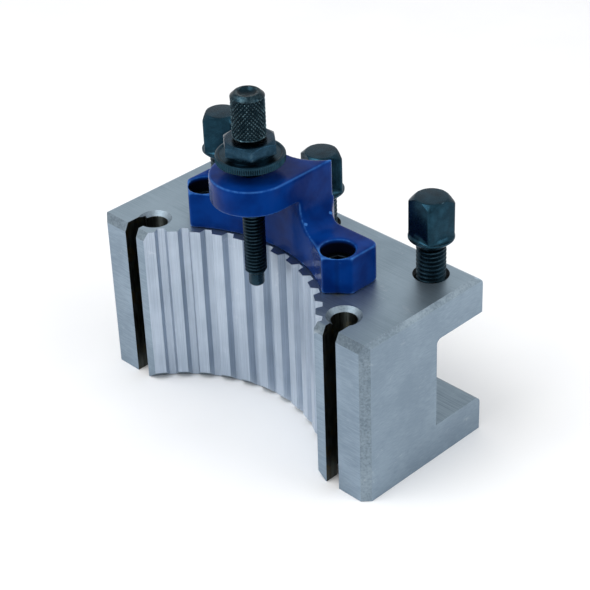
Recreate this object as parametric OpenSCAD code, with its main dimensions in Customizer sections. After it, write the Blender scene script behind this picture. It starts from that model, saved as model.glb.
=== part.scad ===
// Quick change tool holder with a serrated arc, claw slots and a tool channel.
// The block stands on its flat bottom, and the origin is at the middle of that face.
// X runs along the block, -Y is the serrated front, +Y the open side of the tool channel.

/* [Block] */
// Length of the block along X
body_l = 100; // [98:1:110]
// Depth of the block from the serrated front to the open side
body_d = 45; // [44:0.5:50]
// Height of the block
body_h = 49; // [48.5:0.5:54]
// Bevel on the upright front corners
corner_bevel = 2.1; // [1:0.1:2.5]
// Depth of the bevel on the front top edge
front_bevel_d = 1.2; // [0.8:0.1:1.6]
// Height of the bevel on the front top edge
front_bevel_h = 2.5; // [1:0.1:3]
// Bevel on the top edge of each end face
end_bevel = 1.2; // [0.8:0.1:2]
// Rounding of the back top edge
back_r = 2.4; // [1.5:0.1:3]

/* [Tool channel] */
// Height of the channel floor above the bottom
floor_z = 10.8; // [9:0.1:12]
// Clear height of the channel
channel_h = 27.2; // [26:0.1:28]
// Depth of the channel from the open side
channel_d = 17.9; // [16:0.1:18]
// Fillet under the upper lip
ceiling_fillet = 1.5; // [0.5:0.1:3]
// Rounding of the top edge of the lower lip
lip_r = 2.2; // [1:0.1:3]

/* [Serration] */
// Radius of the arc over the tooth tips
tip_r = 40; // [39.5:0.1:40.4]
// Distance of the arc's centre in front of the block
arc_offset = 23.2; // [23:0.1:23.6]
// Teeth in a full turn
teeth_per_turn = 40; // [38:1:42]
// Depth of the grooves
tooth_h = 1.9; // [1.2:0.1:2.2]
// Turn of the row of grooves from the middle plane
groove_turn = 2; // [1:0.5:3]
// Width of a groove at the tooth tips
groove_w = 3.4; // [3:0.1:3.8]
// Width of a groove at its bottom
groove_floor_w = 1.9; // [1.2:0.1:2.4]
// Bevel on the lower edge of the arc
arc_bevel = 2.2; // [1:0.1:3]

/* [Claw slots] */
// Distance of each round pocket from the middle plane
pocket_x = 36; // [35.5:0.1:36.5]
// Distance of the pockets behind the front face
pocket_y = 7.5; // [7:0.1:8]
// Radius of the round pockets
pocket_r = 3.5; // [3:0.1:3.8]
// Radius of the countersink at the mouth of each pocket
pocket_sink_r = 4.8; // [4.2:0.1:5]
// Distance from the middle plane to the outer wall of each slot
slot_out_x = 40.1; // [39.6:0.1:40.5]
// Width of each slot at the front face
slot_w = 4.5; // [4:0.1:4.8]

/* [Clamp screws] */
// Spacing of the three clamp screws
clamp_pitch = 39.1; // [38.5:0.1:40]
// Distance of the clamp screws behind the front face
clamp_y = 37; // [36.5:0.1:37.5]
// Thread diameter of the clamp screws
clamp_d = 8; // [7:0.5:8]
// Width across the flats of the square heads
clamp_flats = 8.9; // [8:0.1:9.2]
// Length of thread and tip below the collar
clamp_shank = 20; // [18:0.5:21]

/* [Height bracket] */
// Thickness of the two feet
foot_h = 11; // [10:0.5:12]
// Half width over the feet
foot_half_w = 31.1; // [30.5:0.1:32]
// Distance of the foot screws from the middle plane
foot_screw_x = 25; // [24.5:0.1:25.5]
// Half width of the arm and radius of its round end
arm_r = 11.1; // [10.5:0.1:11.5]
// Underside of the arm above the bottom of the block
arm_z = 68; // [67:0.5:70]
// Thickness of the arm
arm_h = 7.6; // [6:0.2:8]

/* [Height screw] */
// Thread diameter of the height stud
stud_d = 6; // [5:0.5:6]
// Distance of the stud behind the front face
stud_y = 11.4; // [11.2:0.1:11.8]
// Diameter of the knurled knob
knob_d = 9; // [8.6:0.2:10]
// Length of the knurled knob
knob_l = 12.5; // [11:0.5:14]
// Diameter of the knurled ring
ring_d = 18.4; // [17.6:0.2:20]
// Width across the flats of the lock nut
nut_flats = 13; // [12:0.5:13]

/* [Hidden] */
$fn = 96;
eps = 0.05;                // overshoot of the cutting shapes
fit = 0.05;                // radial clearance of a screw in its thread

// places of the block
front_y = -body_d / 2;
back_y = body_d / 2;
wall_y = back_y - channel_d;
ceiling_z = floor_z + channel_h;
arc_y = front_y - arc_offset;
clamp_row_y = front_y + clamp_y;
foot_screw_y = front_y + 17;
stud_axis_y = front_y + stud_y;

// serration and claw slots
tooth_angle = 360 / teeth_per_turn;
groove_count = 12;
groove_run_out = 0.6;      // the groove cutters start this far inside the tips
pocket_sink_h = 1.2;

// clamp screws, measured down from the flat top of the head
clamp_r = clamp_d / 2;
clamp_sink_r = 4.95;
clamp_top_r = 4.4;
clamp_bevel_h = 1.7;
clamp_square_h = 11.3;
clamp_collar_r = 6.1;
clamp_collar_h = 0.5;
clamp_taper_h = 2;
clamp_tip_r = 3;
clamp_tip_h = 1;
clamp_tops = [69.8, 71.1, 72.1];
clamp_turns = [-60, 66, -9];

// height bracket
foot_top = body_h + foot_h;
bracket_arc_r = tip_r + 2.2;
foot_corner = [6.3, 5.3];  // bevel on the front outer corner of each foot
foot_corner_y = front_y + 15.9;
foot_back_y = front_y + 26.4;
foot_back_r = 2.5;
web_back_y = front_y + 30.5;
web_flare_r = 6;
// round blend in plan from the back of each foot to the back corner of the web
blend_y = foot_back_y + web_flare_r;
blend_x = arm_r + sqrt(pow(web_flare_r, 2) - pow(blend_y - web_back_y, 2));
screw_hollow_r = 12.9;     // hollow behind the web, around the middle clamp screw

// foot screws
foot_screw_r = 2.5;
foot_screw_hole_r = 2.75;
foot_screw_head_r = 4.25;
foot_screw_head_h = 5;
foot_screw_sink_r = 4.55;
foot_screw_sink_h = 8.5;
foot_screw_l = 12;
foot_screw_socket = 4;     // across the flats of the hexagon socket
foot_screw_socket_h = 2.5;
foot_screw_seat = foot_top - foot_screw_sink_h;
foot_thread_h = 14;

// height screw
arm_top = arm_z + arm_h;
stud_r = stud_d / 2;
dog_r = 2.1;
dog_h = 3.9;
dog_bevel = 0.5;
dog_z = 41.6;
ring_z = arm_top + 3.3;
ring_h = 2.3;
ring_edge = 0.3;
ring_boss_r = 6.4;         // boss under the nut, and inner side of the groove around it
ring_boss_h = 0.8;
ring_groove_r = 8.1;
ring_groove_h = 0.4;
nut_z = ring_z + ring_h + ring_boss_h;
nut_h = 3.4;
nut_top_r = 6.2;
nut_bevel_h = 0.75;
knob_z = nut_z + nut_h + 0.5;
knob_r = knob_d / 2;
knob_bevel = 1.1;
knob_edge = 0.4;
knob_recess_r = 2.4;
knob_recess_h = 1;
knob_bore_h = 8;
stud_top = knob_z + knob_bore_h - fit;

// ---------- block ----------

// what a rounded edge takes off its square corner, towards +X and +Y
module round_off(r) {
    difference() {
        square(r + eps);
        circle(r);
    }
}

// block seen along X, with Y to the right
module block_profile() {
    difference() {
        translate([front_y, 0]) square([body_d, body_h]);
        translate([wall_y, floor_z]) square([channel_d + eps, channel_h]);
        translate([back_y - back_r, body_h - back_r]) round_off(back_r);
        translate([back_y - lip_r, floor_z - lip_r]) round_off(lip_r);
        polygon([
            [front_y - eps, body_h - front_bevel_h], [front_y, body_h - front_bevel_h],
            [front_y + front_bevel_d, body_h], [front_y + front_bevel_d, body_h + eps],
            [front_y - eps, body_h + eps]
        ]);
    }
    translate([wall_y, ceiling_z - ceiling_fillet]) difference() {
        square(ceiling_fillet);
        translate([ceiling_fillet, 0]) circle(ceiling_fillet);
    }
}

module serration() {
    slope = (groove_w - groove_floor_w) / 2 / tooth_h;
    mouth = groove_w / 2 + slope * groove_run_out;
    translate([0, arc_y, -eps]) {
        cylinder(r = tip_r, h = body_h + 2 * eps);
        cylinder(r1 = tip_r + arc_bevel + eps, r2 = tip_r, h = arc_bevel + eps);
        for (i = [0 : groove_count - 1])
            rotate([0, 0, (i - (groove_count - 1) / 2) * tooth_angle - groove_turn])
                linear_extrude(body_h + 2 * eps)
                    polygon([
                        [-mouth, tip_r - groove_run_out], [-groove_floor_w / 2, tip_r + tooth_h],
                        [groove_floor_w / 2, tip_r + tooth_h], [mouth, tip_r - groove_run_out]
                    ]);
    }
}

module claw_slot() {
    translate([pocket_x, front_y + pocket_y, 0]) {
        translate([0, 0, -eps]) cylinder(r = pocket_r, h = body_h + 2 * eps);
        translate([0, 0, body_h - pocket_sink_h])
            cylinder(r1 = pocket_r, r2 = pocket_sink_r, h = pocket_sink_h + eps);
    }
    translate([slot_out_x - slot_w, front_y - eps, -eps])
        cube([slot_w, pocket_y + eps, body_h + 2 * eps]);
}

module clamp_thread() {
    sink_h = clamp_sink_r - clamp_r;
    translate([0, 0, ceiling_z - eps]) cylinder(r = clamp_r, h = body_h - ceiling_z + 2 * eps);
    translate([0, 0, body_h - sink_h]) cylinder(r1 = clamp_r, r2 = clamp_sink_r, h = sink_h + eps);
}

// right triangle that bevels an edge whose outer corner is at the origin
module edge_cutter(size) {
    polygon([
        [-size - eps, eps], [-size, 0], [0, -size], [eps, -size - eps], [eps, eps]
    ]);
}

module holder_body() {
    color("lightsteelblue") difference() {
        translate([-body_l / 2, 0, 0]) rotate([90, 0, 90]) linear_extrude(body_l) block_profile();
        serration();
        for (side = [0, 1]) mirror([side, 0, 0]) {
            claw_slot();
            translate([foot_screw_x, foot_screw_y, body_h - foot_thread_h])
                cylinder(r = foot_screw_r, h = foot_thread_h + eps);
            translate([body_l / 2, front_y, -eps]) mirror([0, 1, 0])
                linear_extrude(body_h + 2 * eps) edge_cutter(corner_bevel);
            translate([body_l / 2, back_y + eps, body_h]) rotate([90, 0, 0])
                linear_extrude(body_d + 2 * eps) edge_cutter(end_bevel);
        }
        for (i = [-1 : 1]) translate([i * clamp_pitch, clamp_row_y, 0]) clamp_thread();
    }
}

// ---------- height bracket ----------

// plan of the base, before the arc, the hollow and the round corners are cut
module base_plan() {
    corner_x = foot_half_w - foot_corner[0];
    corner_y = foot_corner_y - foot_corner[1];
    polygon([
        [-corner_x, corner_y], [0, front_y], [corner_x, corner_y], [foot_half_w, foot_corner_y],
        [foot_half_w, foot_back_y], [blend_x, foot_back_y], [blend_x, web_back_y],
        [-blend_x, web_back_y], [-blend_x, foot_back_y], [-foot_half_w, foot_back_y],
        [-foot_half_w, foot_corner_y]
    ]);
}

// web seen along Y, flaring out onto the feet at its lower edge
module web_profile() {
    flare_x = arm_r + web_flare_r;
    difference() {
        translate([-flare_x, foot_top - eps])
            square([2 * flare_x, arm_z - foot_top + 2 * eps]);
        for (side = [-1, 1]) translate([side * flare_x, foot_top + web_flare_r]) {
            circle(web_flare_r);
            translate([-web_flare_r, 0]) square([2 * web_flare_r, arm_z]);
        }
    }
}

module bracket_base() {
    difference() {
        union() {
            translate([0, 0, body_h]) linear_extrude(foot_h) base_plan();
            translate([0, web_back_y, 0]) rotate([90, 0, 0])
                linear_extrude(web_back_y - front_y) web_profile();
        }
        translate([0, arc_y, body_h - eps]) cylinder(r = bracket_arc_r, h = arm_z);
        for (side = [0, 1]) mirror([side, 0, 0]) translate([0, 0, body_h - eps]) {
            translate([blend_x, blend_y, 0]) cylinder(r = web_flare_r, h = arm_z);
            translate([blend_x, foot_back_y, 0]) cube([foot_half_w, body_d, arm_z]);
            translate([foot_half_w - foot_back_r, foot_back_y - foot_back_r, 0])
                linear_extrude(arm_z) round_off(foot_back_r);
        }
    }
}

module height_bracket() {
    color("mediumblue") difference() {
        union() {
            bracket_base();
            translate([0, 0, arm_z]) linear_extrude(arm_h) {
                translate([0, stud_axis_y]) circle(arm_r);
                translate([-arm_r, stud_axis_y]) square([2 * arm_r, web_back_y - stud_axis_y]);
            }
        }
        translate([0, clamp_row_y, body_h - eps])
            cylinder(r = screw_hollow_r, h = arm_top - body_h + 2 * eps);
        translate([0, stud_axis_y, arm_z - eps]) cylinder(r = stud_r, h = arm_h + 2 * eps);
        for (side = [-1, 1]) translate([side * foot_screw_x, foot_screw_y, 0]) {
            translate([0, 0, body_h - eps]) cylinder(r = foot_screw_hole_r, h = foot_h);
            translate([0, 0, foot_screw_seat])
                cylinder(r = foot_screw_sink_r, h = foot_screw_sink_h + eps);
        }
    }
}

// socket head screw that holds one foot of the bracket
module bracket_screw(side) {
    color("dimgray") translate([side * foot_screw_x, foot_screw_y, foot_screw_seat])
        difference() {
            union() {
                cylinder(r = foot_screw_head_r, h = foot_screw_head_h);
                translate([0, 0, -foot_screw_l])
                    cylinder(r = foot_screw_r - fit, h = foot_screw_l + eps);
            }
            translate([0, 0, foot_screw_head_h - foot_screw_socket_h])
                cylinder(d = foot_screw_socket / cos(30), h = foot_screw_socket_h + eps, $fn = 6);
        }
}

// ---------- height screw ----------

module height_stud() {
    color("darkslategray") translate([0, stud_axis_y, dog_z]) {
        cylinder(r1 = dog_r - dog_bevel, r2 = dog_r, h = dog_bevel);
        translate([0, 0, dog_bevel]) cylinder(r = dog_r, h = dog_h);
        translate([0, 0, dog_h]) cylinder(r = stud_r - fit, h = stud_top - dog_z - dog_h);
    }
}

module knurled_ring() {
    color("darkslategray") translate([0, stud_axis_y, ring_z]) difference() {
        union() {
            cylinder(r1 = ring_d / 2 - ring_edge, r2 = ring_d / 2, h = ring_edge);
            translate([0, 0, ring_edge]) cylinder(d = ring_d, h = ring_h - 2 * ring_edge);
            translate([0, 0, ring_h - ring_edge])
                cylinder(r1 = ring_d / 2, r2 = ring_d / 2 - ring_edge, h = ring_edge);
            cylinder(r = ring_boss_r, h = ring_h + ring_boss_h);
        }
        translate([0, 0, ring_h - ring_groove_h]) difference() {
            cylinder(r = ring_groove_r, h = ring_groove_h + eps);
            cylinder(r = ring_boss_r, h = ring_groove_h + eps);
        }
        translate([0, 0, -eps]) cylinder(r = stud_r, h = ring_h + ring_boss_h + 2 * eps);
    }
}

module lock_nut() {
    corner_r = nut_flats / sqrt(3);
    color("darkslategray") translate([0, stud_axis_y, nut_z]) difference() {
        intersection() {
            rotate([0, 0, -40]) cylinder(r = corner_r, h = nut_h, $fn = 6);
            union() {
                cylinder(r = corner_r + eps, h = nut_h - nut_bevel_h);
                translate([0, 0, nut_h - nut_bevel_h])
                    cylinder(r1 = corner_r + eps, r2 = nut_top_r, h = nut_bevel_h);
            }
        }
        translate([0, 0, -eps]) cylinder(r = stud_r, h = nut_h + 2 * eps);
    }
}

module knurled_knob() {
    color("darkslategray") translate([0, stud_axis_y, knob_z]) difference() {
        union() {
            cylinder(r1 = knob_r - knob_edge, r2 = knob_r, h = knob_edge);
            translate([0, 0, knob_edge]) cylinder(r = knob_r, h = knob_l - knob_edge - knob_bevel);
            translate([0, 0, knob_l - knob_bevel])
                cylinder(r1 = knob_r, r2 = knob_r - knob_bevel, h = knob_bevel);
        }
        translate([0, 0, -eps]) cylinder(r = stud_r, h = knob_bore_h + eps);
        translate([0, 0, knob_l - knob_recess_h])
            cylinder(r = knob_recess_r, h = knob_recess_h + eps);
    }
}

// ---------- clamp screws ----------

// index 0, 1 and 2 is the left, middle and right screw
module clamp_screw(index) {
    collar_top = -clamp_square_h;
    taper_top = collar_top - clamp_collar_h;
    thread_top = taper_top - clamp_taper_h;
    tip_top = thread_top - clamp_shank + clamp_tip_h;
    thread_r = clamp_r - fit;
    color("darkslategray")
        translate([(index - 1) * clamp_pitch, clamp_row_y, clamp_tops[index]])
            rotate([0, 0, clamp_turns[index]]) {
                intersection() {
                    translate([-clamp_flats / 2, -clamp_flats / 2, collar_top])
                        cube([clamp_flats, clamp_flats, clamp_square_h]);
                    union() {
                        translate([0, 0, collar_top])
                            cylinder(r = clamp_collar_r, h = clamp_square_h - clamp_bevel_h);
                        translate([0, 0, -clamp_bevel_h])
                            cylinder(r1 = clamp_collar_r, r2 = clamp_top_r, h = clamp_bevel_h);
                    }
                }
                translate([0, 0, taper_top]) cylinder(r = clamp_collar_r, h = clamp_collar_h);
                translate([0, 0, thread_top])
                    cylinder(r1 = thread_r, r2 = clamp_collar_r, h = clamp_taper_h);
                translate([0, 0, tip_top]) cylinder(r = thread_r, h = thread_top - tip_top);
                translate([0, 0, tip_top - clamp_tip_h])
                    cylinder(r1 = clamp_tip_r, r2 = thread_r, h = clamp_tip_h);
            }
}

holder_body();
height_bracket();
bracket_screw(-1);  // bracket_screw_left
bracket_screw(1);  // bracket_screw_right
height_stud();
knurled_knob();
knurled_ring();
lock_nut();
clamp_screw(0);  // clamp_screw_left
clamp_screw(1);  // clamp_screw_middle
clamp_screw(2);  // clamp_screw_right
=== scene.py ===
import math

import bmesh
import bpy
import numpy as np
from mathutils import Matrix, Vector


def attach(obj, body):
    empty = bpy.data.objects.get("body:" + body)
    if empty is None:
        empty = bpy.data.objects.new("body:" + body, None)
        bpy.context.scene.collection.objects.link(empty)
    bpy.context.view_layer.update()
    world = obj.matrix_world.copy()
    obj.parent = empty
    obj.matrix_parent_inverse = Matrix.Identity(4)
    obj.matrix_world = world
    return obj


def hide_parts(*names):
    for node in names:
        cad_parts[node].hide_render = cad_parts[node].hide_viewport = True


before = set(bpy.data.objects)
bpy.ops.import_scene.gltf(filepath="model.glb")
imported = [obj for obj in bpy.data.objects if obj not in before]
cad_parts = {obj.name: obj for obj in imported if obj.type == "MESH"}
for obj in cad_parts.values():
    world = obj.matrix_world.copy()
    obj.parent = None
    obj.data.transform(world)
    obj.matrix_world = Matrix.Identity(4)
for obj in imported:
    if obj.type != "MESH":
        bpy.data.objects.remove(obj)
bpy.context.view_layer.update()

# Lengths are in millimetres up to the point where a mesh, a light or the camera is made.
MM = 0.001
TURN = 2 * math.pi

# The block: its outer planes, and the boxes and circles that its inner faces lie within
BLOCK_TOP = 49.0
BLOCK_END = 50.0
BLOCK_FRONT = -22.5
BLOCK_BACK = 22.5
ARC_Y = -45.7
GROOVE_R = 42.3
POCKET_X, POCKET_Y = 36.0, -15.0
POCKET_SINK_R, POCKET_SINK_Z = 4.9, 47.7
SLOT_INNER_X, SLOT_OUTER_X = 35.4, 40.3
CHANNEL_Y = 4.5
CHANNEL_FLOOR, CHANNEL_CEILING = 10.7, 38.1
LIP_Y, LIP_Z = 19.0, 38.0

# The clamp screws, left to right: X, height of the top, turn of the square in degrees
CLAMP_Y = 14.5
CLAMPS = {"left": (-39.1, 69.8, -60), "middle": (0.0, 71.1, 66), "right": (39.1, 72.1, -9)}
CLAMP_HOLE_R = 5.1
CLAMP_FLATS, CLAMP_CORNER_R = 8.9, 0.75
CLAMP_TOP_R = 4.4
CLAMP_COLLAR_R = 6.1
CLAMP_THREAD_R, CLAMP_ROOT_R, CLAMP_PITCH = 3.95, 3.25, 1.25
# Distances below the top of the head
CLAMP_COLLAR_DROP, CLAMP_THREAD_DROP, CLAMP_LENGTH = 11.3, 13.3, 33.8

# The two cap screws in the feet of the bracket
FOOT_TOP = 60.0
FOOT_SCREW_X, FOOT_SCREW_Y = 25.0, -5.5
FOOT_SEAT_Z = 51.5
FOOT_SINK_R = 4.6
FOOT_HOLE_R, FOOT_HOLE_END = 2.7, 34.0
FOOT_HEAD_R, FOOT_HEAD_H = 4.25, 5.0
FOOT_THREAD_R, FOOT_ROOT_R, FOOT_PITCH = 2.45, 2.02, 0.8
FOOT_THREAD_L = 12.0
FOOT_SOCKET_FLATS, FOOT_SOCKET_TURN = 4.0, 15
FOOT_KNURLS, FOOT_KNURL_DEPTH = 48, 0.10

# The height screw: stud, knob, ring and nut on one axis
STUD_CENTRE = (0.0, -11.1)
BORE_R = 3.0
DOG_BOTTOM, DOG_R = 41.6, 2.1
STUD_THREAD_BOTTOM, STUD_THREAD_TOP = 45.52, 93.6
STUD_THREAD_R, STUD_ROOT_R, STUD_PITCH = 2.95, 2.36, 1.0
KNOB_BOTTOM, KNOB_TOP, KNOB_R = 85.9, 98.4, 4.5
KNOB_BORE_TOP = 93.8
KNURL_BOTTOM, KNURL_TOP = 86.35, 97.25
KNURL_STARTS, KNURL_LIFT, KNURL_DEPTH = 27, 1.19, 0.42
RING_BOTTOM, RING_RIM, RING_TOP = 78.9, 81.2, 82.0
RING_R, RING_TEETH, RING_CUT = 9.2, 96, 0.26
RING_BOSS_R = 6.4
NUT_BOTTOM, NUT_TOP = RING_TOP, 85.4
NUT_FLATS, NUT_TOP_R, NUT_CORNER = 13.0, 6.2, -40


# ---------------------------------------------------------------- material nodes

def linear(red, green, blue):
    """A colour stated in 0 to 255 as linear red, green, blue and alpha."""
    def one(value):
        value /= 255
        return value / 12.92 if value <= 0.04045 else ((value + 0.055) / 1.055) ** 2.4
    return (one(red), one(green), one(blue), 1.0)


class Material:
    """One material's node tree, with short calls for the nodes used here."""

    def __init__(self, name):
        self.material = bpy.data.materials.new(name)
        self.material.use_nodes = True
        self.tree = self.material.node_tree
        self.tree.nodes.clear()
        coordinates = self.tree.nodes.new("ShaderNodeTexCoord")
        self.place = self.stretched(coordinates.outputs["Object"], (1 / MM,) * 3)
        self.geometry = self.tree.nodes.new("ShaderNodeNewGeometry")

    def fill(self, node, values):
        """Links each value that is a socket and sets each value that is a constant."""
        for key, value in values.items():
            if isinstance(value, bpy.types.NodeSocket):
                self.tree.links.new(value, node.inputs[key])
            else:
                node.inputs[key].default_value = value
        return node

    def stretched(self, vector, scale):
        node = self.tree.nodes.new("ShaderNodeMapping")
        return self.fill(node, {"Vector": vector, "Scale": scale}).outputs[0]

    def noise(self, scale, detail=3, roughness=0.55, vector=None, distortion=0.0):
        node = self.tree.nodes.new("ShaderNodeTexNoise")
        values = {"Vector": vector or self.place, "Scale": scale, "Detail": detail,
                  "Roughness": roughness, "Distortion": distortion}
        return self.fill(node, values).outputs["Fac"]

    def ramp(self, value, low, high, out_low=0.0, out_high=1.0):
        """out_low at low and out_high at high, smooth between them."""
        node = self.tree.nodes.new("ShaderNodeMapRange")
        node.interpolation_type = "SMOOTHSTEP"
        values = {"Value": value, "From Min": low, "From Max": high,
                  "To Min": out_low, "To Max": out_high}
        return self.fill(node, values).outputs["Result"]

    def math(self, operation, first, second=0.0):
        node = self.tree.nodes.new("ShaderNodeMath")
        node.operation = operation
        return self.fill(node, {0: first, 1: second}).outputs[0]

    def mix(self, factor, first, second):
        node = self.tree.nodes.new("ShaderNodeMix")
        node.data_type = "RGBA"
        return self.fill(node, {0: factor, 6: first, 7: second}).outputs[2]

    def edges(self, low, high):
        """1 on outer edges, 0 on flat faces and in hollows; the other way with high below low."""
        return self.ramp(self.geometry.outputs["Pointiness"], low, high)

    def bump(self, height, depth, before=None):
        """Bump of a height from 0 to 1, depth in millimetres."""
        node = self.tree.nodes.new("ShaderNodeBump")
        values = {"Height": height, "Distance": depth * MM, "Strength": 1.0}
        if before is not None:
            values["Normal"] = before
        return self.fill(node, values).outputs[0]

    def screw_holes(self):
        """1 inside the two counterbores of the bracket, 0 elsewhere: where the enamel gets
        painted shade.
        """
        x, y, z = self.fill(self.tree.nodes.new("ShaderNodeSeparateXYZ"), {0: self.place}).outputs
        aside = self.math("SUBTRACT", self.math("ABSOLUTE", x), FOOT_SCREW_X)
        along = self.math("SUBTRACT", y, FOOT_SCREW_Y)
        away = self.math("SQRT", self.math("ADD", self.math("POWER", aside, 2.0),
                                           self.math("POWER", along, 2.0)))
        within = self.ramp(away, FOOT_SINK_R + 0.25, FOOT_SINK_R)
        below = self.ramp(z, FOOT_TOP - 0.1, FOOT_TOP - 1.4)
        return self.math("MULTIPLY", within, below)

    def finish(self, **values):
        """The material, with a Principled shader. An underscore stands for a space."""
        shader = self.tree.nodes.new("ShaderNodeBsdfPrincipled")
        self.fill(shader, {key.replace("_", " "): value for key, value in values.items()})
        output = self.tree.nodes.new("ShaderNodeOutputMaterial")
        self.tree.links.new(shader.outputs[0], output.inputs[0])
        return self.material


def machined_steel(name, light, dark, worn, lines, depth, rough, grit=0.006, metallic=1.0,
                   stain=None, stain_from=0.62):
    """Cut or ground steel.

    light, dark, worn and stain are colours. lines is how many marks a millimetre has along X, Y
    and Z, and depth and grit are how deep the marks and the grain are. rough is the least and
    the greatest roughness.
    """
    m = Material(name)
    marks = m.noise(scale=1.0, detail=4, roughness=0.65, vector=m.stretched(m.place, lines))
    broad = m.noise(scale=0.05, detail=4, roughness=0.6)
    fine = m.noise(scale=3.2, detail=3, roughness=0.6)
    tone = m.math("ADD", m.math("MULTIPLY", marks, 0.55), m.math("MULTIPLY", broad, 0.45))
    colour = m.mix(m.ramp(tone, 0.36, 0.64), dark, light)
    if stain is not None:
        spots = m.noise(scale=0.22, detail=5, roughness=0.7, distortion=0.6)
        colour = m.mix(m.ramp(spots, stain_from, stain_from + 0.16), colour, stain)
    rubs = m.noise(scale=0.12, detail=6, roughness=0.75, distortion=0.4)
    colour = m.mix(m.math("MULTIPLY", m.ramp(rubs, 0.60, 0.72), 0.35), colour, worn)
    relief = m.math("ADD", m.math("MULTIPLY", marks, 0.6), m.math("MULTIPLY", fine, 0.4))
    roughness = m.ramp(relief, 0.3, 0.7, *rough)
    surface = m.bump(fine, grit, before=m.bump(marks, depth))
    return m.finish(Base_Color=colour, Metallic=metallic, Roughness=roughness, Normal=surface)


def blue_enamel():
    """Thick glossy paint on a casting, with a painted highlight along the edges and painted shade
    in the hollows and in the counterbores.
    """
    m = Material("blue_enamel")
    flow = m.noise(scale=0.10, detail=3, roughness=0.5)
    colour = m.mix(m.ramp(flow, 0.35, 0.65), linear(3, 32, 92), linear(4, 50, 122))
    # Painted highlight: the edges, in patches, are mixed towards a pale blue.
    patches = m.ramp(m.noise(scale=0.5, detail=3, roughness=0.6), 0.15, 0.6)
    enamel_edge_highlight = m.math("MULTIPLY", m.edges(0.512, 0.55), patches)
    colour = m.mix(m.math("MULTIPLY", enamel_edge_highlight, 0.7), colour, linear(70, 130, 205))
    # Painted shade: the hollows are darkened to a deep blue.
    colour = m.mix(m.edges(0.49, 0.44), colour, linear(6, 20, 70))
    # Painted shade: inside the counterbores the paint is darkened to near black.
    colour = m.mix(m.screw_holes(), colour, linear(8, 11, 26))
    dust = m.noise(scale=1.6, detail=4, roughness=0.75)
    casting = m.bump(m.noise(scale=0.55, detail=2, roughness=0.5), 0.045)
    surface = m.bump(m.noise(scale=4.0, detail=2, roughness=0.5), 0.004, before=casting)
    return m.finish(Base_Color=colour, Roughness=m.ramp(dust, 0.3, 0.75, 0.13, 0.28),
                    Normal=surface, IOR=1.22, Specular_Tint=linear(26, 112, 225))


def black_oxide(name, base, sheen, rough, worn=linear(88, 116, 130), ridge=(0.53, 0.64)):
    """Blackened steel, clouded between base and sheen, rubbed to worn where ridge finds edges."""
    m = Material(name)
    cloud = m.noise(scale=0.35, detail=4, roughness=0.6)
    colour = m.mix(m.ramp(cloud, 0.2, 0.85), base, sheen)
    rub = m.ramp(m.noise(scale=1.1, detail=5, roughness=0.7), 0.42, 0.62)
    wear = m.math("MULTIPLY", m.edges(*ridge), rub)
    colour = m.mix(m.math("MULTIPLY", wear, 0.75), colour, worn)
    grit = m.noise(scale=5.0, detail=3, roughness=0.6)
    surface = m.bump(cloud, 0.008, before=m.bump(grit, 0.006))
    return m.finish(Base_Color=colour, Metallic=1.0, Roughness=m.ramp(grit, 0.3, 0.7, *rough),
                    Normal=surface)


# The steels of the block, in the order of its material slots
BLOCK_STEELS = {
    "top": machined_steel(
        "ground_top", light=linear(164, 183, 197), dark=linear(140, 159, 173),
        worn=linear(205, 214, 222), lines=(0.05, 5.0, 1.0), depth=0.004, rough=(0.34, 0.50),
        stain=linear(122, 136, 145), stain_from=0.66),
    "end": machined_steel(
        "satin_end", light=linear(146, 163, 177), dark=linear(124, 141, 156),
        worn=linear(205, 214, 222), lines=(1.0, 0.4, 3.5), depth=0.004, rough=(0.38, 0.54),
        grit=0.010),
    "front": machined_steel(
        "milled_front", light=linear(150, 167, 182), dark=linear(124, 141, 156),
        worn=linear(205, 214, 222), lines=(0.3, 1.0, 4.0), depth=0.005, rough=(0.36, 0.52)),
    "teeth": machined_steel(
        "broached_teeth", light=linear(186, 199, 214), dark=linear(158, 172, 188),
        worn=linear(226, 232, 238), lines=(4.0, 4.0, 0.05), depth=0.006, rough=(0.30, 0.44),
        metallic=0.6),
    "bevel": machined_steel(
        "rough_bevel", light=linear(146, 161, 172), dark=linear(106, 121, 133),
        worn=linear(196, 206, 214), lines=(1.6, 1.6, 1.6), depth=0.02, rough=(0.40, 0.60),
        grit=0.02),
    "channel": machined_steel(
        "milled_channel", light=linear(152, 170, 184), dark=linear(118, 136, 150),
        worn=linear(196, 206, 214), lines=(0.06, 2.6, 2.6), depth=0.008, rough=(0.34, 0.50)),
    # Painted shade: dark steel on the walls of the slots and pockets, with a brown oil stain.
    "slot": machined_steel(
        "slot_painted_shade_and_oil", light=linear(86, 92, 90), dark=linear(44, 48, 44),
        worn=linear(120, 130, 132), lines=(1.4, 1.4, 0.15), depth=0.012, rough=(0.30, 0.50),
        stain=linear(88, 80, 52), stain_from=0.5),
    # Painted shade: dark steel on the inside of the screw holes.
    "bore": machined_steel(
        "bore_painted_shade", light=linear(70, 76, 80), dark=linear(34, 38, 42),
        worn=linear(150, 160, 166), lines=(0.3, 0.3, 2.4), depth=0.02, rough=(0.30, 0.46)),
    # Painted highlight: the palest steel, on the rounded edges, which are also rubbed.
    "edge": machined_steel(
        "rubbed_edge_with_highlight", light=linear(196, 206, 214), dark=linear(150, 162, 172),
        worn=linear(222, 228, 234), lines=(1.2, 1.2, 1.2), depth=0.01, rough=(0.28, 0.46)),
}
BLOCK_SLOTS = list(BLOCK_STEELS)
ENAMEL = blue_enamel()
OXIDE_SCREW = black_oxide("oxide_screw", linear(22, 44, 56), linear(36, 68, 84), (0.22, 0.38))
OXIDE_STUD = black_oxide("oxide_stud", linear(24, 42, 52), linear(40, 62, 74), (0.22, 0.38))
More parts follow.
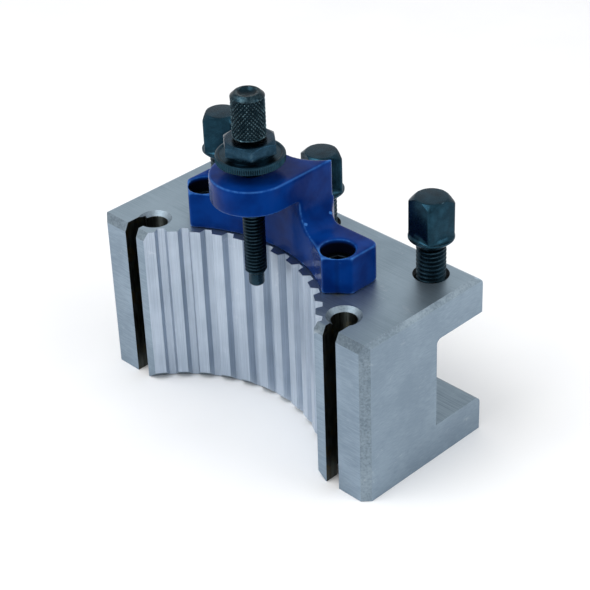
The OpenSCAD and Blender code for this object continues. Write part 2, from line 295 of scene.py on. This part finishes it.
OXIDE_KNURL = black_oxide("oxide_knurl", linear(18, 34, 42), linear(34, 54, 64), (0.24, 0.40),
                          worn=linear(120, 150, 160), ridge=(0.505, 0.56))
OXIDE_RING = black_oxide("oxide_ring", linear(22, 46, 58), linear(38, 68, 84), (0.24, 0.40))
OXIDE_NUT = black_oxide("oxide_nut", linear(24, 46, 60), linear(42, 72, 92), (0.18, 0.32))
# Painted highlight: a paler oxide for the rounded edges of the clamp heads, which are also worn.
OXIDE_EDGE = black_oxide("oxide_edge_with_highlight", linear(44, 62, 70), linear(74, 98, 108), (0.24, 0.38))
OXIDE_DARK = black_oxide("oxide_socket_screw", linear(12, 16, 20), linear(22, 28, 34),
                         (0.34, 0.5))


# ---------------------------------------------------------------- mesh helpers

def add_piece(name, mesh, body, materials, node=None, sharp=32):
    """A piece on a body, in place of the CAD node if one is given.

    Edges that turn more than sharp degrees are drawn sharp.
    """
    mesh.shade_smooth()
    mesh.set_sharp_from_angle(angle=math.radians(sharp))
    for material in materials:
        mesh.materials.append(material)
    piece = bpy.data.objects.new(name, mesh)
    bpy.context.scene.collection.objects.link(piece)
    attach(piece, body)
    if node is not None:
        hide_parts(node)
    return piece


def round_edges(piece, width, limit, material):
    """Rounds the edges that turn more than limit degrees. material is the number of a slot."""
    modifier = piece.modifiers.new("rounded_edges", "BEVEL")
    modifier.width = width * MM
    modifier.segments = 2
    modifier.limit_method = "ANGLE"
    modifier.angle_limit = math.radians(limit)
    modifier.harden_normals = True
    modifier.material = material


def clean(mesh, merge):
    """Joins points within merge millimetres and turns every face outwards."""
    bm = bmesh.new()
    bm.from_mesh(mesh)
    bmesh.ops.remove_doubles(bm, verts=bm.verts, dist=merge * MM)
    bmesh.ops.dissolve_degenerate(bm, edges=bm.edges, dist=0.2 * merge * MM)
    bmesh.ops.recalc_face_normals(bm, faces=bm.faces)
    bm.to_mesh(mesh)
    bm.free()


def even_angles(count, start=0.0):
    """Angles in radians all the way round, the first at start degrees."""
    return math.radians(start) + TURN * np.arange(count) / count


def plain(angles, points):
    """A segment of a lathe from (radius, height) pairs; either may be an array over angles."""
    rows = np.empty((len(points), 2, len(angles)))
    for row, (radius, height) in zip(rows, points):
        row[0] = radius
        row[1] = height
    return rows, 0


# One turn of a thread's outline: where along the pitch, and how deep, 0 at the crest
THREAD_PHASES = np.array([-1, 1, 2.6, 4.3, 5.6, 6.6, 9.4, 10.4, 11.7, 13.4]) / 16
THREAD_DEPTHS = np.array([0, 0, 0.32, 0.66, 0.9, 1, 1, 0.9, 0.66, 0.32])
THREAD_START = THREAD_PHASES[0]


def threaded(angles, low, high, pitch, crest, root, lead=0.0):
    """A segment of a lathe with a right-hand thread.

    crest and root are radii. Both ends fade out at 45 degrees from just inside the root, the
    low one from lead further in.
    """
    turns = math.ceil((high - low) / pitch) + 4
    starts = (np.arange(-2, turns - 2)[:, None] + THREAD_PHASES[None, :]).ravel() * pitch + low
    around = (angles - angles[0]) / TURN
    heights = np.clip(starts[:, None] + pitch * around[None, :], low, high)
    phase = (heights - low) / pitch - around[None, :]
    phase = (phase - THREAD_START) % 1.0 + THREAD_START
    depth = np.interp(phase, np.append(THREAD_PHASES, THREAD_START + 1),
                      np.append(THREAD_DEPTHS, THREAD_DEPTHS[0]))
    radii = crest - (crest - root) * depth
    end_r = root - 0.02
    radii = np.minimum(radii, end_r - lead + (heights - low))
    radii = np.minimum(radii, end_r + (high - heights))
    return np.stack([radii, heights], axis=1), len(THREAD_PHASES)


def band(low, high, count):
    """Faces between two rows, from the numbers of their first points."""
    for j in range(count):
        k = (j + 1) % count
        yield low + j, low + k, high + k, high + j


def lathe(name, angles, segments, centre, loop=False):
    """One closed mesh from segments of rows, a ring if loop is set.

    A segment is its rows and how many rows one turn climbs, 0 for plain rows: at the seam a
    thread's row meets the row a whole pitch up.
    """
    count = len(angles)
    verts, faces = [], []
    total, last = 0, None
    for rows, shift in segments:
        n = len(rows)
        verts.append(np.stack([
            centre[0] + rows[:, 0] * np.cos(angles), centre[1] + rows[:, 0] * np.sin(angles),
            rows[:, 1]], axis=2).reshape(-1, 3))
        if last is not None:
            faces += band(last, total, count)
        for i in range(n - 1):
            for j in range(count - 1):
                a = total + i * count + j
                faces.append((a, a + 1, a + count + 1, a + count))
            a = total + i * count + count - 1
            b = total + min(i + shift, n - 1) * count
            c = total + min(i + 1 + shift, n - 1) * count
            if b != c:
                faces.append((a, b, c, a + count))
            else:
                faces.append((a, b, a + count))
        last = total + (n - 1) * count
        total += n * count
    points = np.concatenate(verts)
    if loop:
        faces += band(last, 0, count)
    else:
        ends = [[*centre, points[:count, 2].mean()], [*centre, points[last:, 2].mean()]]
        points = np.concatenate([points, ends])
        for j in range(count):
            k = (j + 1) % count
            faces.append((total, k, j))
            faces.append((total + 1, last + j, last + k))
    mesh = bpy.data.meshes.new(name)
    mesh.from_pydata((points * MM).tolist(), [], faces)
    clean(mesh, 0.002)
    return mesh


def triangle_wave(turns):
    """0 on the ridges of a knurl and 1 at the bottom of its grooves, a little rounded."""
    wave = 1 - np.abs(2 * (turns % 1.0) - 1)
    return np.clip((wave - 0.10) / 0.84, 0, 1)


def hexagon(angles, flats, corner):
    """Radius of a hexagon with one corner at the angle corner, in degrees."""
    around = (angles - math.radians(corner)) % (TURN / 6) - TURN / 12
    return flats / 2 / np.cos(around)


# ---------------------------------------------------------------- screws

def square_angles(turn):
    """Angles round a square turned by turn degrees, closer together at its corners."""
    half = [0, 5, 10, 15, 20, 25, 30, 34, 37.5, 40.2, 41.9, 43.5]
    quarter = [-45] + [-a for a in half[:0:-1]] + half
    degrees = np.array([q + 90 * k for k in range(4) for q in quarter])
    return np.radians(degrees + turn)


def square_radius(angles, turn, flats, corner):
    """Radius of a square turned by turn degrees, its corners rounded by corner."""
    side = flats / 2
    around = (angles - math.radians(turn) + TURN / 8) % (TURN / 4) - TURN / 8
    radius = side / np.cos(around)
    off = TURN / 8 - np.abs(around)
    centre = (side - corner) * math.sqrt(2)
    inside = np.clip(corner ** 2 - (centre * np.sin(off)) ** 2, 0, None)
    rounded = centre * np.cos(off) + np.sqrt(inside)
    tangent = math.atan((side - corner) / side)
    return np.where(np.abs(around) > tangent, rounded, radius)


def clamp_screw(name, body, x, top, turn):
    """A square-headed screw in two pieces: the head with its collar, and the thread."""
    centre = (x, CLAMP_Y)
    angles = square_angles(turn)
    side = square_radius(angles, turn, CLAMP_FLATS, CLAMP_CORNER_R)
    bevel = np.maximum(side - CLAMP_TOP_R, 0.16)
    points = [(CLAMP_TOP_R - 0.35, top), (CLAMP_TOP_R - 0.12, top - 0.03),
              (CLAMP_TOP_R + 0.06, top - 0.14), (side - 0.06, top - bevel + 0.04),
              (side, top - bevel - 0.12)]
    collar = top - CLAMP_COLLAR_DROP
    fillet = np.minimum(1.5, CLAMP_COLLAR_R - 0.04 - side)
    for step in range(7):
        swing = math.radians(15 * step)
        points.append((side + fillet * (1 - math.cos(swing)),
                       collar + fillet * 1.5 * (1 - math.sin(swing))))
    points += [(CLAMP_COLLAR_R - 0.03, collar), (CLAMP_COLLAR_R, collar - 0.06),
               (CLAMP_COLLAR_R, collar - 0.44), (CLAMP_COLLAR_R - 0.08, collar - 0.56),
               (CLAMP_THREAD_R + 0.08, collar - 2.42), (CLAMP_THREAD_R, collar - 2.5)]
    head = lathe(name + "_head", angles, [plain(angles, points)], centre)
    steels = [OXIDE_SCREW, OXIDE_EDGE]
    piece = add_piece(name + "_head", head, body, steels, name, sharp=28)
    # The rounded edges take the paler oxide, a painted highlight.
    round_edges(piece, width=0.10, limit=40, material=steels.index(OXIDE_EDGE))

    angles = even_angles(64)
    bottom = top - CLAMP_LENGTH
    tip = bottom + 0.5
    point = plain(angles, [(2.6, bottom), (2.95, tip)])
    thread = threaded(angles, tip, top - CLAMP_THREAD_DROP, CLAMP_PITCH, CLAMP_THREAD_R,
                      CLAMP_ROOT_R, lead=0.3)
    mesh = lathe(name + "_thread", angles, [point, thread], centre)
    add_piece(name + "_thread", mesh, body, [OXIDE_STUD])


def bracket_screw(side, name):
    """A socket head cap screw. side is -1 on the left and 1 on the right."""
    angles = even_angles(96)
    seat, top = FOOT_SEAT_Z, FOOT_SEAT_Z + FOOT_HEAD_H
    low = seat - FOOT_THREAD_L
    tip = low + 0.3
    point = plain(angles, [(1.6, low), (1.8, tip)])
    thread = threaded(angles, tip, seat - 1, FOOT_PITCH, FOOT_THREAD_R, FOOT_ROOT_R, lead=0.2)
    knurl = FOOT_HEAD_R - FOOT_KNURL_DEPTH * triangle_wave(FOOT_KNURLS * angles / TURN)
    socket = hexagon(angles, FOOT_SOCKET_FLATS, FOOT_SOCKET_TURN)
    head = plain(angles, [
        (2.3, seat - 0.6), (FOOT_THREAD_R, seat), (FOOT_HEAD_R - 0.15, seat),
        (FOOT_HEAD_R, seat + 0.15), (FOOT_HEAD_R, seat + 0.4), (knurl, seat + 0.5),
        (knurl, top - 0.8), (FOOT_HEAD_R, top - 0.65), (FOOT_HEAD_R - 0.05, top - 0.4),
        (FOOT_HEAD_R - 0.3, top - 0.1), (FOOT_HEAD_R - 0.55, top), (socket + 0.25, top),
        (socket, top - 0.2), (socket, top - 2.5), (0.4, top - 3.1)])
    mesh = lathe(name, angles, [point, thread, head], (side * FOOT_SCREW_X, FOOT_SCREW_Y))
    add_piece(name, mesh, "holder", [OXIDE_DARK], name)


# ---------------------------------------------------------------- height screw

def height_stud():
    """The stud: a dog point below, then thread up to where the knob takes over."""
    angles = even_angles(64)
    dog = plain(angles, [
        (1.5, DOG_BOTTOM), (1.62, DOG_BOTTOM + 0.03), (DOG_R - 0.15, DOG_BOTTOM + 0.35),
        (DOG_R - 0.02, DOG_BOTTOM + 0.55), (DOG_R, DOG_BOTTOM + 0.7), (DOG_R, DOG_BOTTOM + 3.6),
        (DOG_R + 0.02, DOG_BOTTOM + 3.8), (DOG_R + 0.1, DOG_BOTTOM + 3.9)])
    thread = threaded(angles, STUD_THREAD_BOTTOM, STUD_THREAD_TOP, STUD_PITCH, STUD_THREAD_R,
                      STUD_ROOT_R, lead=0.1)
    end = plain(angles, [(2.3, STUD_THREAD_TOP + 0.25), (2.0, STUD_THREAD_TOP + 0.25)])
    mesh = lathe("height_stud", angles, [dog, thread, end], STUD_CENTRE)
    add_piece("height_stud", mesh, "stud", [OXIDE_STUD], "height_stud")


def knurled_knob():
    """The knob, crossed by two sets of grooves KNURL_LIFT apart in height."""
    per_diamond = 8
    angles = even_angles(KNURL_STARTS * per_diamond)
    steps = round((KNURL_TOP - KNURL_BOTTOM) / (KNURL_LIFT / per_diamond))
    heights = np.linspace(KNURL_BOTTOM, KNURL_TOP, steps + 1)
    fade = np.clip(np.minimum(heights - KNURL_BOTTOM, KNURL_TOP - heights) / 0.25, 0, 1)
    turns = KNURL_STARTS * angles / TURN
    knurl = []
    for height, share in zip(heights, fade):
        climb = height / KNURL_LIFT
        cut = np.maximum(triangle_wave(turns + climb), triangle_wave(turns - climb))
        knurl.append((KNOB_R - KNURL_DEPTH * share * cut, height))
    below = [(2.6, KNOB_BORE_TOP + 0.15), (BORE_R, KNOB_BORE_TOP),
             (BORE_R, KNOB_BOTTOM + 0.3), (3.25, KNOB_BOTTOM + 0.02), (3.4, KNOB_BOTTOM),
             (4.0, KNOB_BOTTOM), (4.15, KNOB_BOTTOM + 0.04), (4.44, KNOB_BOTTOM + 0.32),
             (4.49, KNOB_BOTTOM + 0.4)]
    above = [(4.47, KNOB_TOP - 1.08), (4.4, KNOB_TOP - 0.98), (3.46, KNOB_TOP - 0.1),
             (3.34, KNOB_TOP - 0.02), (3.2, KNOB_TOP), (2.7, KNOB_TOP), (2.5, KNOB_TOP - 0.08),
             (2.3, KNOB_TOP - 0.3), (1.9, KNOB_TOP - 0.68), (1.3, KNOB_TOP - 0.9),
             (0.6, KNOB_TOP - 0.98)]
    mesh = lathe("knurled_knob", angles, [plain(angles, below + knurl + above)], STUD_CENTRE)
    add_piece("knurled_knob", mesh, "knob", [OXIDE_KNURL], "knurled_knob")


def knurled_ring():
    """The ring, with a boss on top and a groove round it."""
    per_tooth = 4
    angles = even_angles(RING_TEETH * per_tooth)
    cut = RING_CUT * triangle_wave(RING_TEETH * angles / TURN)
    low, rim, boss = RING_BOTTOM, RING_RIM, RING_TOP
    edge = RING_R - cut
    mesh = lathe("knurled_ring", angles, [plain(angles, [
        (3.25, low), (7.9, low), (8.6, low + 0.04), (8.95, low + 0.16),
        (9.14 - 0.5 * cut, low + 0.34), (edge, low + 0.55), (edge, low + 1.15),
        (edge, rim - 0.62), (9.13 - 0.6 * cut, rim - 0.36), (8.95, rim - 0.14),
        (8.72, rim - 0.03), (8.5, rim), (8.3, rim - 0.05), (8.14, rim - 0.2),
        (8.0, rim - 0.38), (7.8, rim - 0.4), (RING_BOSS_R + 0.15, rim - 0.4),
        (RING_BOSS_R + 0.02, rim - 0.34), (RING_BOSS_R, rim - 0.2), (RING_BOSS_R, boss - 0.12),
        (RING_BOSS_R - 0.1, boss - 0.02), (RING_BOSS_R - 0.2, boss), (3.35, boss),
        (3.08, boss - 0.25), (BORE_R, boss - 0.4), (BORE_R, low + 0.4), (3.08, low + 0.25)])],
        STUD_CENTRE, loop=True)
    add_piece("knurled_ring", mesh, "ring", [OXIDE_RING], "knurled_ring")


def lock_nut():
    """A hexagon nut, its top corners cut by a 30 degree cone."""
    angles = even_angles(96, NUT_CORNER)
    side = hexagon(angles, NUT_FLATS, NUT_CORNER)
    low, high = NUT_BOTTOM, NUT_TOP
    cone = high - (side - NUT_TOP_R) * math.tan(math.radians(30))
    mesh = lathe("lock_nut", angles, [plain(angles, [
        (3.3, low), (6.1, low), (side - 0.08, low + 0.01), (side, low + 0.09),
        (side, cone - 0.05), (side - 0.05, cone + 0.03), (NUT_TOP_R + 0.1, high - 0.05),
        (NUT_TOP_R, high - 0.01), (NUT_TOP_R - 0.15, high), (3.55, high), (3.4, high - 0.05),
        (BORE_R, high - 0.4), (BORE_R, low + 0.3)])], STUD_CENTRE, loop=True)
    add_piece("lock_nut", mesh, "nut", [OXIDE_NUT], "lock_nut", sharp=24)


# ---------------------------------------------------------------- block and bracket

def copied_mesh(node):
    """The CAD node's mesh with its split corners joined, as a new mesh of the same name."""
    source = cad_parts[node].data
    mesh = bpy.data.meshes.new(node)
    mesh.from_pydata([v.co[:] for v in source.vertices], [],
                     [tuple(p.vertices) for p in source.polygons])
    clean(mesh, 0.001)
    return mesh


def block_region(centre, normal):
    """Which of the block's steels a face has, from its middle and normal."""
    x, y, z = centre
    nx, ny, nz = normal
    near, flat = 0.02, 0.99
    below_top = z < BLOCK_TOP - 0.05
    from_pocket = math.hypot(abs(x) - POCKET_X, y - POCKET_Y)
    from_foot_screw = math.hypot(abs(x) - FOOT_SCREW_X, y - FOOT_SCREW_Y)
    from_clamp = min(math.hypot(x - clamp_x, y - CLAMP_Y) for clamp_x, _, _ in CLAMPS.values())
    if from_clamp < CLAMP_HOLE_R and z > LIP_Z + near and below_top:
        return "bore"
    if from_foot_screw < FOOT_HOLE_R and z > FOOT_HOLE_END and below_top:
        return "bore"
    if abs(z - BLOCK_TOP) < near and nz > flat:
        return "top"
    if abs(abs(x) - BLOCK_END) < near:
        return "end"
    if from_pocket < POCKET_SINK_R:
        if z > POCKET_SINK_Z and 0.3 < nz < flat:
            return "bevel"
        if abs(nz) < flat:
            return "slot"
    if SLOT_INNER_X < abs(x) < SLOT_OUTER_X and y < POCKET_Y and abs(nx) > 0.9:
        return "slot"
    if abs(nz) < 0.2 and math.hypot(x, y - ARC_Y) < GROOVE_R and y > BLOCK_FRONT + near:
        return "teeth"
    if CHANNEL_Y < y < BLOCK_BACK - near and CHANNEL_FLOOR < z < CHANNEL_CEILING:
        return "channel"
    if abs(y - BLOCK_FRONT) < near and ny < -flat:
        return "front"
    if abs(y - BLOCK_BACK) < near or nz < -flat:
        return "end"
    if y > LIP_Y and z > LIP_Z:
        return "top"
    return "bevel"


def holder_body():
    """The block. Faces that are flat together are merged, so that bevels follow real edges."""
    mesh = copied_mesh("holder_body")
    bm = bmesh.new()
    bm.from_mesh(mesh)
    for face in bm.faces:
        region = block_region(face.calc_center_median() / MM, face.normal)
        face.material_index = BLOCK_SLOTS.index(region)
    bmesh.ops.dissolve_limit(bm, angle_limit=math.radians(0.6), use_dissolve_boundaries=False,
                             verts=bm.verts, edges=bm.edges, delimit={"MATERIAL"})
    bm.to_mesh(mesh)
    bm.free()
    piece = add_piece("holder_body", mesh, "holder",
                      list(BLOCK_STEELS.values()), "holder_body", sharp=24)
    # The rounded edges take the edge steel, a painted highlight.
    round_edges(piece, width=0.14, limit=24, material=BLOCK_SLOTS.index("edge"))


def height_bracket():
    """The bracket, with every edge rounded as on a painted casting."""
    mesh = copied_mesh("height_bracket")
    piece = add_piece("height_bracket", mesh, "holder", [ENAMEL],
                      "height_bracket", sharp=60)
    remesh = piece.modifiers.new("even_mesh", "REMESH")
    remesh.mode = "VOXEL"
    remesh.voxel_size = 0.32 * MM
    remesh.use_smooth_shade = True
    smooth = piece.modifiers.new("rounded", "SMOOTH")
    smooth.factor = 0.5
    smooth.iterations = 22


holder_body()
height_bracket()
bracket_screw(-1, "bracket_screw_left")
bracket_screw(1, "bracket_screw_right")
height_stud()
knurled_knob()
knurled_ring()
lock_nut()
for place, (x, top, turn) in CLAMPS.items():
    clamp_screw("clamp_screw_" + place, "clamp_" + place, x, top, turn)


# ---------------------------------------------------------------- camera, floor and light

def direction(azimuth, elevation):
    """Unit vector from the object towards a view, in radians: azimuth 0 looks along +Y."""
    return Vector((math.sin(azimuth) * math.cos(elevation),
                   -math.cos(azimuth) * math.cos(elevation), math.sin(elevation)))


def add_camera():
    azimuth = math.radians(46.14)
    elevation = math.radians(32.90)
    roll = math.radians(-2.25)
    target = Vector((-1.9, 4.6, 29.3)) * MM
    distance = 493.8 * MM
    back = direction(azimuth, elevation)
    right = Vector((math.cos(azimuth), math.sin(azimuth), 0))
    up = back.cross(right)
    across = right * math.cos(roll) + up * math.sin(roll)
    upward = up * math.cos(roll) - right * math.sin(roll)
    data = bpy.data.cameras.new("camera")
    data.lens = 108.94
    data.sensor_width = 36
    data.clip_start = 0.01
    data.clip_end = 20
    camera = bpy.data.objects.new("camera", data)
    turn = Matrix((across, upward, back)).transposed()
    camera.matrix_world = Matrix.Translation(target + back * distance) @ turn.to_4x4()
    bpy.context.scene.collection.objects.link(camera)
    bpy.context.scene.camera = camera


def add_floor():
    """Pale paper, 6 m square and a hair below the block."""
    half, steps, drop = 3000, 12, 0.05
    bm = bmesh.new()
    bmesh.ops.create_grid(bm, x_segments=steps, y_segments=steps, size=half * MM)
    mesh = bpy.data.meshes.new("floor")
    bm.to_mesh(mesh)
    bm.free()
    m = Material("floor_paper")
    tone = m.ramp(m.noise(scale=0.02, detail=3, roughness=0.5), 0.3, 0.7)
    colour = m.mix(tone, linear(247, 248, 250), linear(251, 252, 253))
    grain = m.bump(m.noise(scale=0.8), 0.01)
    mesh.materials.append(m.finish(Base_Color=colour, Roughness=0.9, Normal=grain))
    floor = bpy.data.objects.new("floor", mesh)
    floor.location = (0, 0, -drop * MM)
    bpy.context.scene.collection.objects.link(floor)


def add_area(name, azimuth, elevation, distance, size, power):
    """A soft light that faces the part. Angles are in degrees, size is across and up."""
    target = (0, 0, 45)
    back = direction(math.radians(azimuth), math.radians(elevation))
    data = bpy.data.lights.new(name, "AREA")
    data.shape = "RECTANGLE"
    data.size = size[0] * MM
    data.size_y = size[1] * MM
    data.energy = power
    light = bpy.data.objects.new(name, data)
    light.location = Vector(target) * MM + back * distance * MM
    light.rotation_euler = back.to_track_quat("Z", "Y").to_euler()
    bpy.context.scene.collection.objects.link(light)


def add_world(strength):
    """Even white light from all round."""
    world = bpy.data.worlds.new("studio")
    bpy.context.scene.world = world
    world.use_nodes = True
    background = world.node_tree.nodes["Background"]
    background.inputs[0].default_value = (1, 1, 1, 1)
    background.inputs[1].default_value = strength


add_camera()
add_floor()
add_world(strength=0.74)
add_area("key", azimuth=-20, elevation=60, distance=700, size=(420, 420), power=2.2)
add_area("side", azimuth=110, elevation=35, distance=700, size=(300, 500), power=1.2)
add_area("edge", azimuth=-65, elevation=38, distance=600, size=(60, 500), power=0.1)
bpy.context.scene.view_settings.view_transform = "Standard"
